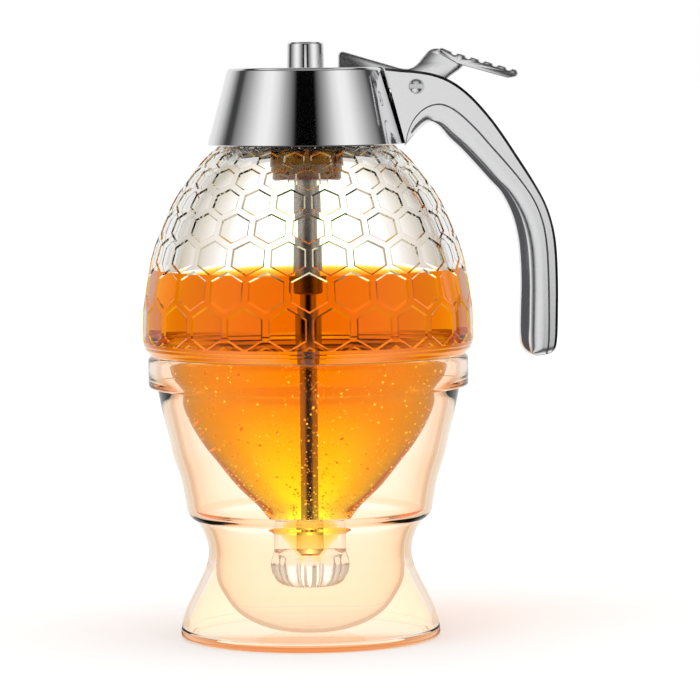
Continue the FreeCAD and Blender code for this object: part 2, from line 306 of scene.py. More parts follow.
# Clear finishes. Most bend light less than the real material does, because they render too dark with its IOR.
acrylic = clearFinish("clearAcrylic", {"ior": 1.49})  # moulded acrylic: glassy and colourless
reliefLook = {"ior": 1.4, "wallsDeep": 3, "mirror": "#A0A0A0"}  # the far side's cells hardly show
reliefAcrylic = clearFinish("reliefAcrylic", reliefLook)  # moulded acrylic: clear, bright cells
shadedEdgeAcrylic = clearFinish("reliefPaintedShadeEdge", {**reliefLook, "colour": "#CDC096"})  # a straw tint on the cells' sunk walls: painted shade for the lines round the cells
paintedGlowEdge = clearFinish("reliefPaintedGlowEdge", {**reliefLook, "colour": "#FFC24A", "glow": 0.22})  # amber lines with a painted glow, on the cells' lower walls below the honey's level
funnelAcrylic = clearFinish("funnelAcrylic", {"ior": 1.16})  # moulded acrylic: a thin clear rim round honey
wetAcrylic = clearFinish("wettedAcrylic", {"ior": 1.0})  # wetted by honey: no surface to see
standAcrylic = clearFinish("standAcrylic", {  # moulded acrylic: clear, a little peach where it is thick
    "ior": 1.16, "depthTint": "#FFDDAE", "density": 70, "raysDeep": 12})
cupAcrylic = clearFinish("peachAcrylic", {  # tinted acrylic: a peach veil
    "ior": 1.13, "depthTint": "#FDCA90", "density": 120, "raysDeep": 12})
baseAcrylic = clearFinish("amberAcrylic", {  # tinted acrylic: an amber foot
    "ior": 1.08, "depthTint": "#FFC560", "density": 32, "raysDeep": 12})
honeyFinish = clearFinish("clearHoney", {  # runny honey: yellow where it is thin, deep orange where thick
    # metal mirrors the honey as a flat grey painted glow
    "ior": 1.0, "depthTint": "#FBEA00", "density": 138, "paintedMirrorGlow": "#5E5E60"})
bubbleFinish = clearFinish("airBubble", {  # air in honey: matt amber dots, their brightness a painted glow
    "colour": "#FFD24A", "roughness": 0.3, "ior": 1.0, "clear": 0.0, "glow": 0.45})
silicone = clearFinish("clearSilicone", {"roughness": 0.1, "ior": 1.41})  # moulded silicone: milky clear

# Metals. Their grain is drawn coarser than it is, so that it shows.
collarHoneyReflection = metalFinish("collarPaintedHoneyReflection", {  # metal tinted warm brown: a painted reflection of the honey in the band under the cap
    "colour": "#74501F", "rough": (0.08, 0.1), "bump": 0.0, "grainMm": 0.6, "stretch": (1, 1, 1)})
chrome = metalFinish("polishedChrome", {  # polished chrome plate: crisp light and dark bands
    "colour": "#D6D6D7", "rough": (0.06, 0.10), "bump": 0.02, "grainMm": 0.4, "stretch": (1, 1, 1)})
satin = metalFinish("satinChrome", {  # satin chrome plate: softer and paler bands
    "colour": "#E2E2E3", "rough": (0.12, 0.2), "bump": 0.03, "grainMm": 0.25, "stretch": (1, 1, 1)})
edgeDarkReflection = metalFinish("paintedDarkReflectionMetal", {  # dark metal: a painted dark reflection, the thin line along the handle's outer edge
    "colour": "#45423F", "rough": (0.12, 0.2), "bump": 0.02, "grainMm": 0.25, "stretch": (1, 1, 1)})
steel = metalFinish("drawnSteel", {  # drawn steel: dull, with its grain along the tube
    "colour": "#A39A8C", "rough": (0.2, 0.28), "bump": 0.02, "grainMm": 0.6, "stretch": (1, 1, 0.1)})
print("finishes ready")


# The jar. Lists of pairs are points on an outline: radius and height.
jar = {
    "domeMiddle": 89.0, "domeRadius": 47.89, "domeRise": 63.0, "domeWall": 2.5,
    "reliefLow": 86.2, "reliefHigh": 142.4,
    "rowHeights": [81.1, 91.9, 102.6, 111.9, 120.1, 127.3, 133.7, 138.8, 143.1],
    "cellsRound": 24, "cellTurn": 1.2, "rib": 1.7, "cellBevel": 0.4, "cellDepth": 0.5, "cellFlat": 0.75,
    "funnel": [(38.3, 72.0), (35.3, 64.0), (31.0, 56.7), (26.3, 50.3), (20.1, 43.0), (13.6, 36.4),
               (10.5, 31.2)],
    "funnelWall": 2.0, "funnelLow": 26.0, "funnelTop": 81.5, "wetLow": 21.5,
    "lobes": 10, "lobeDepth": 0.9, "lobesLow": 14.6, "lobesTop": 24.4, "nozzleBore": 1.7,
    "rimGap": 0.25, "neckGap": 0.15,  # between the relief and the turned wall, closed by a seam
    "neckRadius": 22.0, "neckBore": 19.5, "neckTop": 155.0,
}
honey = {"level": 106.0, "intoWall": 0.3, "creep": 0.7}
rodRadius = 2.2


def domeRadius(height, inside=0.0):
    rise = (height - jar["domeMiddle"]) / (jar["domeRise"] - inside)
    return (jar["domeRadius"] - inside) * math.sqrt(max(0.0, 1 - rise * rise))


def domeLine(low, high, inside=0.0, steps=24):  # points up the dome's ellipse
    rise = jar["domeRise"] - inside
    first, last = (math.asin((h - jar["domeMiddle"]) / rise) for h in (low, high))
    angles = [first + (last - first) * i / steps for i in range(steps + 1)]
    return [((jar["domeRadius"] - inside) * math.cos(a), jar["domeMiddle"] + rise * math.sin(a))
            for a in angles]


def insetLine(line, distance):  # a downward line moved towards the axis
    moved = []
    for i, (radius, height) in enumerate(line):
        before, after = line[max(i - 1, 0)], line[min(i + 1, len(line) - 1)]
        run, drop = after[0] - before[0], after[1] - before[1]
        length = math.hypot(run, drop)
        moved.append((radius + distance * drop / length, height - distance * run / length))
    return moved


# The jar's inner wall from the dome's middle down to the outlet, grown outwards by grow.
def jarInside(grow=0.0):
    funnel = insetLine(jar["funnel"], jar["funnelWall"])[:-1]
    inner = jar["domeRadius"] - jar["domeWall"]
    shoulder = [(inner, jar["domeMiddle"]), (44.6, 86.4), (42.4, 84.7), (40.0, 83.5), (38.5, 81.2),
                (37.7, 77.6)]
    line = flowLine(shoulder + funnel) + [(jar["nozzleBore"], jar["wetLow"])]
    return insetLine(line, -grow) if grow else line


def jarInsideRadius(height):  # the inner wall's radius at a height
    if height > jar["domeMiddle"]:
        return domeRadius(height, jar["domeWall"])
    line = jarInside()
    for (outer, high), (inner, low) in zip(line, line[1:]):
        if low <= height <= high:
            return inner + (outer - inner) * (height - low) / (high - low)
    return 0.0


def rowHeight(row):  # the height of a place in the relief that is row rows up, with parts of a row
    heights = jar["rowHeights"]
    heights = [2 * heights[0] - heights[1]] + heights + [2 * heights[-1] - heights[-2]]
    place = min(max(row + 1, 0.0), len(heights) - 1.001)
    i = int(place)
    near = [heights[min(max(i + k, 0), len(heights) - 1)] for k in (-1, 0, 1, 2)]
    return flowPoint(*near, place - i)


# The dome's point and outward direction at an angle round the axis and a height.
def domeFrame(angle, height):
    radius = domeRadius(height)
    out = Vector((radius / jar["domeRadius"] ** 2, (height - jar["domeMiddle"]) / jar["domeRise"] ** 2))
    out.normalize()
    around = Vector((math.cos(angle), math.sin(angle), 0))
    point = around * radius + Vector((0, 0, height))
    return point, around * out[0] + Vector((0, 0, out[1]))


# One ring of cells: a six-sided tile, sunk in the middle, repeated and wrapped round the dome.
def makeRow(row):
    height = rowHeight(row)
    pitch = 2 * math.pi * domeRadius(height) / jar["cellsRound"]
    rise = 0.5 * (rowHeight(row + 1) - rowHeight(row - 1))
    slope = domeFrame(0, height)[1]
    rise = rise / abs(slope.x)
    dropAll()
    bpy.ops.mesh.primitive_circle_add(vertices=6, radius=mm, fill_type="NGON")
    tile = named("cellRow")
    corners = [(0, 2 / 3), (0.5, 1 / 3), (0.5, -1 / 3), (0, -2 / 3), (-0.5, -1 / 3), (-0.5, 1 / 3)]
    for vertex in tile.data.vertices:
        turn = math.degrees(math.atan2(vertex.co.x, vertex.co.y)) % 360
        across, along = corners[int(round(turn / 60)) % 6]
        vertex.co = (across * pitch * mm, along * rise * mm, 0)
    editAll(tile)
    bpy.ops.mesh.normals_make_consistent(inside=False)
    bpy.ops.mesh.inset(thickness=jar["rib"] / 2 * mm, depth=0)
    bpy.ops.mesh.inset(thickness=jar["cellBevel"] * mm, depth=-jar["cellDepth"] * mm)
    bpy.ops.mesh.inset(thickness=pitch / 6 * mm, depth=0)
    bpy.ops.mesh.poke()
    leaveEdit()
    giveFinishes(tile, reliefAcrylic, shadedEdgeAcrylic, paintedGlowEdge)
    # the sunk walls get the painted shade lines, and the lower ones below the honey's level a painted amber
    # glow
    for face in tile.data.polygons:
        if abs(face.normal.z) < 0.9:
            lit = rowHeight(row) < honey["level"] and face.center.y < -0.1 * rise * mm
            face.material_index = 2 if lit else 1
    editAll(tile)
    bpy.ops.mesh.subdivide(number_cuts=2)
    leaveEdit()
    applyModifier(tile, "ARRAY", count=jar["cellsRound"], use_relative_offset=False,
                  use_constant_offset=True, constant_offset_displace=(pitch * mm, 0, 0))
    shift, first = row % 2 / 2, math.radians(jar["cellTurn"]) - math.pi / 2
    for vertex in tile.data.vertices:
        across, along, deep = vertex.co.x / mm / pitch, vertex.co.y / mm / rise, abs(vertex.co.z) / mm
        cell = round(across)
        turns = [(value + shift) / jar["cellsRound"] * 2 * math.pi + first for value in (across, cell)]
        point, out = domeFrame(turns[0], rowHeight(row + along))
        middle, outMiddle = domeFrame(turns[1], height)
        sunk = deep / jar["cellDepth"]
        point = point - out * deep
        gap = (middle - outMiddle * deep - point).dot(outMiddle)
        vertex.co = (point + outMiddle * gap * jar["cellFlat"] * sunk) * mm
    return tile


def makeRelief():  # all the rings of cells, joined and cut level at both ends
    rows = [makeRow(row) for row in range(len(jar["rowHeights"]))]
    relief = joinPieces("jarRelief", *rows)
    editAll(relief)
    bpy.ops.mesh.remove_doubles(threshold=0.03 * mm)
    for height, side in ((jar["reliefLow"], 1), (jar["reliefHigh"], -1)):
        pickAll()
        bpy.ops.mesh.bisect(plane_co=(0, 0, height * mm), plane_no=(0, 0, side), clear_inner=True)
    pickAll()
    bpy.ops.mesh.remove_doubles(threshold=0.01 * mm)
    leaveEdit()
    return relief


def makeJar():  # the clear jar: the relief, closed by one turned wall from the rim round to the neck
    low, high = jar["reliefLow"], jar["reliefHigh"]
    rimTop, neckLow = low - jar["rimGap"], high + jar["neckGap"]
    rim = [(domeRadius(low) - 0.02, rimTop), (47.62, 85.3), (47.72, 85.05), (47.45, 84.8), (47.2, 84.2),
           (47.28, 83.95), (46.95, 83.7), (46.4, 82.9), (45.7, 82.3), (44.8, 82.05), (41.4, 82.0),
           (41.0, 81.7)]
    funnel = flowLine([(41.0, 80.6), (39.6, 76.0)] + jar["funnel"])
    nozzle = flowLine([(10.5, 24.6), (11.3, 23.4), (11.9, 20.8), (10.9, 17.0), (8.9, 15.1), (7.4, 14.5)], 4)
    outlet = [(2.1, 14.5), (jar["nozzleBore"], 14.8)]
    inside = jarInside()[::-1]
    wetTop = honey["level"] + honey["creep"]
    dome = domeLine(jar["domeMiddle"], wetTop, jar["domeWall"], 8)[1:]
    dome += domeLine(wetTop, 143.0, jar["domeWall"], 20)[1:]
    bore, outside, top = jar["neckBore"], jar["neckRadius"], jar["neckTop"]
    neck = [(bore, 144.0), (bore, top), (outside, top), (outside, neckLow),
            (domeRadius(high) - 0.05, neckLow)]
    body = turnLine("jarWall", rim + funnel + nozzle + outlet + inside + dome + neck, steps=144)
    giveFinishes(body, acrylic, wetAcrylic, funnelAcrylic)
    for face in body.data.polygons:
        height = face.center.z / mm
        wall = jarInsideRadius(height) + 0.3
        if jar["wetLow"] < height < wetTop and math.hypot(face.center.x, face.center.y) / mm < wall:
            face.material_index = 1
        elif jar["funnelLow"] < height < jar["funnelTop"] and face.normal.z < 0.2:
            face.material_index = 2
    for vertex in body.data.vertices:
        radius, height = math.hypot(vertex.co.x, vertex.co.y) / mm, vertex.co.z / mm
        if jar["lobesLow"] < height < jar["lobesTop"] and radius > 7:  # the nozzle's outside
            turn = math.atan2(vertex.co.y, vertex.co.x)
            fade = min(1, (jar["lobesTop"] - height) / 2)
            deep = jar["lobeDepth"] * (0.5 + 0.5 * math.cos(jar["lobes"] * turn)) * fade
            vertex.co.x *= 1 - deep / radius
            vertex.co.y *= 1 - deep / radius
    piece = joinPieces("jarShell", body, makeRelief())
    bpy.ops.object.mode_set(mode="EDIT")
    for seam in ((low, rimTop), (high, neckLow)):
        bpy.ops.mesh.select_all(action="DESELECT")
        shape = bmesh.from_edit_mesh(piece.data)
        shape.select_mode = {"EDGE"}
        for edge in shape.edges:
            heights = [v.co.z / mm for v in edge.verts]
            if edge.is_boundary and any(all(abs(h - level) < 0.1 for h in heights) for level in seam):
                edge.select_set(True)
        bmesh.update_edit_mesh(piece.data)
        bpy.ops.mesh.bridge_edge_loops()
    pickAll()
    bpy.ops.mesh.normals_make_consistent(inside=False)
    leaveEdit()
    return piece


jarPiece = makeJar()
putOn(jarPiece, 24, fixedBody, "jar_acrylic", None, "jar")
print("jar made,", len(jarPiece.data.polygons), "faces")


def makeHoney():  # the honey up to its level, creeping up a little at the wall, just into the jar's wall
    grow = honey["intoWall"]
    wall = jarInside(grow)
    wall = [(0.0, 21.2), (1.4, 21.2)] + wall[::-1]
    dome = domeLine(jar["domeMiddle"], honey["level"] + honey["creep"], jar["domeWall"] - grow)[1:]
    edge = dome[-1][0]
    top = [(edge - 0.9, honey["level"] + 0.25), (edge - 2.2, honey["level"] + 0.03),
           (edge - 4.0, honey["level"]), (20, honey["level"]), (0.0, honey["level"])]
    return turnLine("honeyFill", wall + dome + top)


putOn(makeHoney(), 50, fixedBody, "honey", honeyFinish, "honey")
print("honey made")


bubbles = {
    "seed": 7, "count": 1300, "small": 0.13, "large": 0.36, "mostlySmall": 2.5,
    "low": 33.0, "high": 80.0, "mostlyLow": 1.3,
    "atWall": 0.75, "byWall": 1.6, "byRod": 4.0,  # the share at the wall, and how far they spread
    "stopperTop": 42.0, "stopperRoom": 3.6,  # kept free, because the stopper rises into it
}


def makeBubbles():  # air in the honey, most of it by the funnel's wall and some round the rod
    chance = random.Random(bubbles["seed"])
    dropAll()
    bpy.ops.mesh.primitive_ico_sphere_add(subdivisions=2, radius=0.3 * mm, location=(0, -0.012, 0.06))
    piece = named("honeyBubbles")
    bpy.ops.object.mode_set(mode="EDIT")
    for place in range(bubbles["count"]):
        height = chance.random() ** bubbles["mostlyLow"]
        height = bubbles["low"] + (bubbles["high"] - bubbles["low"]) * height
        size = chance.random() ** bubbles["mostlySmall"]
        size = bubbles["small"] + (bubbles["large"] - bubbles["small"]) * size
        wall = jarInsideRadius(height) - size - 0.1
        rod = (rodRadius if height > bubbles["stopperTop"] else bubbles["stopperRoom"]) + size + 0.2
        if chance.random() < bubbles["atWall"]:
            radius = wall - bubbles["byWall"] * chance.random() ** 2
        else:
            radius = rod + bubbles["byRod"] * chance.random() ** 1.5
        radius = max(min(radius, wall), rod)
        angle = chance.uniform(0, 2 * math.pi)
        bpy.ops.mesh.primitive_ico_sphere_add(subdivisions=2, radius=size * mm, location=(
            radius * math.cos(angle) * mm, radius * math.sin(angle) * mm, height * mm))
    leaveEdit()
    bpy.ops.object.transform_apply(location=True, rotation=True, scale=True)
    return piece


putOn(makeBubbles(), 80, fixedBody, "honey", bubbleFinish)
print("bubbles made")


# The stand: its shell from the collar down, and the cup inside it.
stand = {
    "collar": 46.4, "collarTop": 81.95, "collarLow": 72.7, "wall": 1.9,
    "belly": [(43.9, 72.7), (42.3, 64.8), (40.6, 57.9), (39.4, 52.6), (37.3, 46.0), (36.2, 40.5),
              (35.6, 36.8)],
    "waist": [(35.6, 36.8), (34.6, 35.0), (32.5, 33.2), (30.7, 30.0), (29.5, 25.4), (29.9, 21.4)],
    "skirt": [(29.9, 21.4), (31.4, 17.4), (34.8, 10.8), (36.7, 6.6), (37.6, 2.4)],
    "bowl": [(27.4, 20.0), (27.0, 16.4), (25.6, 12.9), (22.0, 7.7), (17.0, 4.2), (10.0, 1.9), (0.0, 1.15)],
    "bowlStart": 24.5, "gap": 0.3, "cupWall": 1.0, "cupTop": 81.4,
}


def wallLine():  # down the stand's wall, with its collar rounded off
    collar = [(stand["collar"], 82.0), (stand["collar"], 78.4), (46.2, 75.4), (45.2, 72.6), (43.6, 69.6)]
    return collar + stand["belly"][1:] + stand["waist"][1:] + stand["skirt"][1:]


def makeShell():  # the outer shell of the stand
    top, low, out = stand["collarTop"], stand["collarLow"], stand["collar"]
    collar = arcLine((out - 1.6, top - 1.6), 1.6, 90, 0, 8)
    collar += arcLine((out - 0.9, low + 0.9), 0.9, 0, -90, 6)
    outer = flowLine(stand["belly"])[:-1] + flowLine(stand["waist"])[:-1] + flowLine(stand["skirt"])
    inner = flowLine(insetLine(wallLine(), stand["wall"]), 4)[::-1]
    inner[-1] = (inner[-1][0], top - 0.3)
    inner[0] = (inner[0][0], stand["skirt"][-1][1])
    return turnLine("standShell", collar + outer + inner + [(inner[-1][0] + 0.4, top)], closed=True)


def makeCup():  # the inner cup with its round bowl
    faces = []
    for depth in (0.0, stand["cupWall"]):
        wall = insetLine(wallLine(), stand["wall"] + stand["gap"] + depth)
        wall = [p for p in wall if stand["bowlStart"] < p[1] < 80]
        first = (wall[0][0], stand["cupTop"] - 0.3)
        bowl = stand["bowl"]
        bowl = insetLine(bowl + [(-bowl[-2][0], bowl[-2][1])], depth)[:-1]
        faces.append(flowLine([first] + wall + bowl))
    rim = [((faces[0][0][0] + faces[1][0][0]) / 2, stand["cupTop"])]
    return turnLine("dripCup", faces[1][::-1] + rim + faces[0])


base = {"radius": 37.7, "plate": 1.1, "rim": 2.35, "rimWidth": 2.9, "edge": 0.7}


def makeBase():  # the base plate with its thicker rim
    r, edge = base["radius"], base["edge"]
    line = [(0.0, 0.0), (r - edge, 0.0)] + arcLine((r - edge, edge), edge, -90, 0, 5)[1:]
    line += arcLine((r - edge, base["rim"] - edge), edge, 0, 90, 5)
    line += [(r - base["rimWidth"], base["rim"]), (r - base["rimWidth"] - 0.5, base["plate"]),
             (0.0, base["plate"])]
    return turnLine("basePlate", line)


putOn(makeShell(), 30, fixedBody, "stand_acrylic", standAcrylic, "stand_shell")
putOn(makeCup(), 40, fixedBody, "cup_acrylic", cupAcrylic, "drip_cup")
putOn(makeBase(), 40, fixedBody, "base_amber", baseAcrylic, "base_plate")
print("stand made")


# The cap and what stands in it.
cap = {"low": 142.5, "top": 164.7, "lowRadius": 28.7, "topRadius": 22.9, "edge": 1.3, "wall": 1.9,
       "hole": 5.95}
slot = {"half": 3.7, "capStart": 7.6, "capEnd": 32, "capFloor": 157.4, "start": 10, "end": 48.0,
        "floor": 153.3, "top": 175}
knob = {"top": 172.09, "low": 158.0, "topRadius": 5.3, "lowRadius": 5.65, "edge": 0.9, "rodLow": 34.0}
guide = {"radius": 3.9, "play": 0.3, "low": 98.0, "collar": 11.0, "collarLow": 133.5, "flange": 1.5}
stopper = {"radius": 3.4, "shoulder": 25.2, "tip": 22.4, "tipRadius": 1.3}


def makeCap():  # the hollow cone with a rounded top edge, the knob's hole and the lever's slot
    low, top, wall, edge = cap["low"], cap["top"], cap["wall"], cap["edge"]
    lean = math.degrees(math.atan2(cap["lowRadius"] - cap["topRadius"], top - low))
    corner = (cap["topRadius"] - edge, top - edge)
    out = cap["lowRadius"]
    line = [(22.3, low + 0.2), (22.5, low), (out - 0.35, low), (out - 0.05, low + 0.3)]
    line += arcLine(corner, edge, lean, 90, 10)
    line += arcLine((cap["hole"] + 0.4, top - 0.4), 0.4, 90, 180, 4)
    line += [(cap["hole"], top - wall), (cap["topRadius"] - wall, top - wall),
             (out - wall, low + wall + 0.4), (22.3, low + wall)]
    piece = turnLine("capShell", line, closed=True, steps=160)
    cutAway(piece, cutterBox((slot["capStart"], -slot["half"], slot["capFloor"]),
                             (slot["capEnd"], slot["half"], top + 2)))
    return piece


def makePlunger():  # the knob with its long rod
    low, top, edge, end = knob["low"], knob["top"], knob["edge"], knob["rodLow"]
    line = [(0.0, end), (rodRadius - 0.3, end), (rodRadius, end + 0.3), (rodRadius, low),
            (knob["lowRadius"], low)]
    line += arcLine((knob["topRadius"] - edge, top - edge), edge, 2, 90, 8) + [(0.0, top)]
    return turnLine("plungerKnob", line, steps=96)


def makeGuide():  # the guide tube with its collar and flange
    bore, low, top = rodRadius + guide["play"], guide["low"], jar["neckTop"]
    tube, collar, collarLow, neck = guide["radius"], guide["collar"], guide["collarLow"], jar["neckRadius"]
    line = [(bore, low + 0.3), (bore + 0.3, low), (tube - 0.4, low), (tube, low + 0.4), (tube, collarLow),
            (collar - 0.8, collarLow), (collar, collarLow + 0.8), (collar, top), (neck, top),
            (neck, top + guide["flange"]), (bore, top + guide["flange"])]
    piece = turnLine("guideTube", line, closed=True, steps=96)
    giveFinishes(piece, steel, collarHoneyReflection)
    # the collar gets the brown metal, a painted reflection of the honey
    for face in piece.data.polygons:
        face.material_index = 1 if face.center.z / mm > collarLow - 0.1 else 0
    return piece


def makeStopper():  # tapered, on the end of the rod
    top, radius = knob["rodLow"], stopper["radius"]
    line = [(0.0, top), (radius, top), (radius, stopper["shoulder"]),
            (stopper["tipRadius"], stopper["tip"]), (0.0, stopper["tip"])]
    return turnLine("valveStopper", line, steps=64)


putOn(makeCap(), 32, fixedBody, "cap_chrome", chrome, "cap")
putOn(makePlunger(), 35, valveBody, "knob_chrome", chrome, "plunger")
putOn(makeGuide(), 35, fixedBody, "guide_steel", None, "rod_guide")
putOn(makeStopper(), 35, valveBody, "stopper_silicone", silicone, "stopper")
print("cap and plunger made")


handle = {
    "half": 6.5, "edge": 1.15, "edgeLean": 0.69, "groove": 1.3, "grooveHalf": 0.26, "step": 0.45,
    "palmStart": 0.22, "tipRings": 8, "tipSwell": 0.10,
    "pivot": (31.8, 159.1), "pin": 2.05, "pinRoom": 0.22, "pinEdge": 0.25, "pinSlot": 0.7,
    # along the handle from its root: outer edge, crease, end of the flat side, inner edge
    "stations": [
        ((22.8, 164.4), (28.6, 142.5), (28.5, 142.1), (28.4, 141.7)),
        ((27.4, 163.9), (29.5, 146.4), (30.0, 144.8), (30.4, 143.8)),
        ((32.0, 163.5), (31.5, 150.2), (32.2, 147.5), (32.7, 146.5)),
        ((37.2, 162.5), (34.8, 153.0), (35.2, 149.7), (35.5, 148.4)),
        ((42.3, 160.3), (38.9, 153.8), (38.4, 149.2), (37.9, 147.3)),
        ((47.5, 156.3), (43.4, 151.7), (41.9, 146.6), (40.8, 143.9)),
        ((52.7, 150.5), (48.7, 146.8), (46.0, 143.0), (44.1, 140.8)),
        ((56.6, 145.2), (53.0, 141.9), (50.3, 138.7), (48.4, 136.2)),
        ((60.6, 139.1), (57.4, 136.9), (54.6, 134.0), (52.4, 131.7)),
        ((65.0, 132.2), (61.8, 131.5), (58.8, 129.9), (55.8, 127.9)),
        ((68.7, 125.4), (65.6, 125.7), (62.4, 124.9), (58.4, 123.0)),
        ((70.9, 118.7), (68.0, 119.3), (64.9, 119.2), (60.0, 118.0)),
        ((71.9, 112.0), (69.1, 112.2), (66.3, 112.2), (61.0, 111.8)),
        ((72.25, 103.0), (69.5, 103.0), (66.7, 103.0), (61.4, 103.0)),
        ((72.2, 94.0), (69.6, 94.0), (66.7, 94.0), (61.2, 94.0)),
        ((72.0, 87.0), (69.5, 86.6), (66.6, 86.4), (61.1, 86.4)),
        ((71.5, 83.6), (69.2, 83.2), (66.4, 82.9), (61.7, 83.5)),
        ((70.5, 82.1), (68.6, 81.5), (66.3, 81.2), (62.9, 81.9)),
    ],
}


# Half of the handle's cross-section, from its outer middle round the side to its inner middle.
def handleSection(outer, crease, flat, inner, swell):
    half, step, edge = handle["half"] * swell, handle["step"] * swell, handle["edge"] * swell
    out, bend, low, deep = (Vector(p) for p in (outer, crease, flat, inner))
    inwards = (bend - out).normalized()
    face, lean, groove = half - step, edge * handle["edgeLean"], inwards * handle["grooveHalf"]
    side = [(out, 0.0), (out, half * 0.5), (out, half - edge), (out + inwards * lean, half),
            (out + inwards * (lean + 0.2), half), (out.lerp(bend, 0.6), half), (bend - groove, half),
            (bend, half - handle["groove"]), (bend + groove, face), (bend.lerp(low, 0.5), face),
            (low.lerp(deep, 0.03), face)]
    for turn in range(0, 91, 10):  # round into the palm side
        angle = math.radians(turn)
        along = handle["palmStart"] + (1 - handle["palmStart"]) * math.sin(angle)
        side.append((low.lerp(deep, along), (face - 0.11) * math.cos(angle)))
    return side


# A skin over rings of points in millimetres: one loop, extruded from each ring to the next.
def loftRings(name, rings):
    count = len(rings[0])
    dropAll()
    bpy.ops.mesh.primitive_circle_add(vertices=count, radius=mm, fill_type="NOTHING")
    piece = named(name)
    bpy.ops.object.mode_set(mode="EDIT")
    pickAll()
    shape = bmesh.from_edit_mesh(piece.data)
    shape.verts.ensure_lookup_table()
    loop = list(shape.verts)
    for vertex, point in zip(loop, rings[0]):
        vertex.co = Vector(point) * mm
    order = [v.index for v in loop]
    for ring in rings[1:]:
        bpy.ops.mesh.extrude_edges_move(TRANSFORM_OT_translate={"value": (0, 0, 0)})
        shape = bmesh.from_edit_mesh(piece.data)
        shape.verts.ensure_lookup_table()
        partners = {}
        for index in order:
            old = shape.verts[index]
            for edge in old.link_edges:
                other = edge.other_vert(old)
                if other.select and (other.co - old.co).length < 1e-9:
                    partners[index] = other
        fresh = [partners[index] for index in order]
        for vertex, point in zip(fresh, ring):
            vertex.co = Vector(point) * mm
        shape.verts.index_update()
        order = [v.index for v in fresh]
        bmesh.update_edit_mesh(piece.data)
    pickAll()
    bpy.ops.mesh.remove_doubles(threshold=0.002 * mm)
    bpy.ops.mesh.fill_holes(sides=0)
    pickAll()
    bpy.ops.mesh.normals_make_consistent(inside=False)
    leaveEdit()
    return piece


def makeHandle():  # the cast handle, skinned over its sections, slotted for the lever and bored for the pin
    rails = [flowLine([station[i] for station in handle["stations"]], 6) for i in range(4)]
    rings = []
    for index, (outer, crease, flat, inner) in enumerate(zip(*rails)):
        last = handle["tipRings"] - (len(rails[0]) - 1 - index)  # above 0 on the last rings, at the tip
        swell = 1 - handle["tipSwell"] * (max(0, last) / handle["tipRings"]) ** 3
        half = handleSection(outer, crease, flat, inner, swell)
        near = [(p[0], -y, p[1]) for p, y in half]
        far = [(p[0], y, p[1]) for p, y in half[1:-1]]
        rings.append(near + far[::-1])
    piece = loftRings("handleBody", rings)
    giveFinishes(piece, satin, edgeDarkReflection)
    around = len(rings[0])
    # the chamfer's faces get the dark metal, a painted dark reflection
    for face in piece.data.polygons:  # the chamfer lies between the third and fourth points of a section
        if {v % around for v in face.vertices} in ({2, 3}, {around - 3, around - 2}):
            face.material_index = 1
    cutAway(piece, cutterBox((slot["start"], -slot["half"], slot["floor"]),
                             (slot["end"], slot["half"], slot["top"])))
    cutAway(piece, crossPin("boreTool", handle["pivot"], handle["pin"] + handle["pinRoom"], 10))
    editAll(piece)
    bpy.ops.mesh.fill_holes(sides=0)
    leaveEdit()
    return piece


def makePin():  # the hinge pin with a screwdriver slot in each end
    half = handle["half"] + 0.1
    piece = crossPin("hingePin", handle["pivot"], handle["pin"], half)
    applyModifier(piece, "BEVEL", width=handle["pinEdge"] * mm, segments=3, limit_method="ANGLE")
    x, z = handle["pivot"]
    for side in (-1, 1):
        dropAll()
        bpy.ops.mesh.primitive_cylinder_add(vertices=4, radius=handle["pinSlot"] * mm, depth=6 * mm,
                                            location=(x * mm, side * half * mm, z * mm),
                                            rotation=(0, math.pi / 2, 0))
        cutAway(piece, bpy.context.object)
    return piece


putOn(makeHandle(), 30, fixedBody, "handle_satin", None, "handle")
putOn(makePin(), 30, fixedBody, "pin_steel", satin, "hinge_pin")
print("handle made")


lever = {
    "half": 3.4, "padHalf": 7.5, "padStart": (38.4, 170.0), "padEnd": (61.2, 163.3), "padThick": 2.9,
    "notches": 5, "notchPitch": 4.05, "notchRadius": 0.85, "lastNotch": 2.9,
    "hub": 4.7, "pinRoom": 0.05, "bladeEdge": 0.35, "padEdge": 0.3,
}


def padLine():  # the pad's side outline along its length, with its notches, before it is tilted
    length = math.dist(lever["padStart"], lever["padEnd"])
    thick, radius = lever["padThick"], lever["notchRadius"]
    line = arcLine((length - 1.1, -1.1), 1.1, -60, 90, 6)
    for notch in range(lever["notches"]):
        middle = length - lever["lastNotch"] - notch * lever["notchPitch"]
        line += arcLine((middle, 0.1), radius, -10, -170, 7)
    line += arcLine((0.9, -0.7), 0.9, 90, 250, 7)
    line += [(4.0, -thick + 0.5), (6.0, -thick), (length - 2.4, -thick)]
    return line


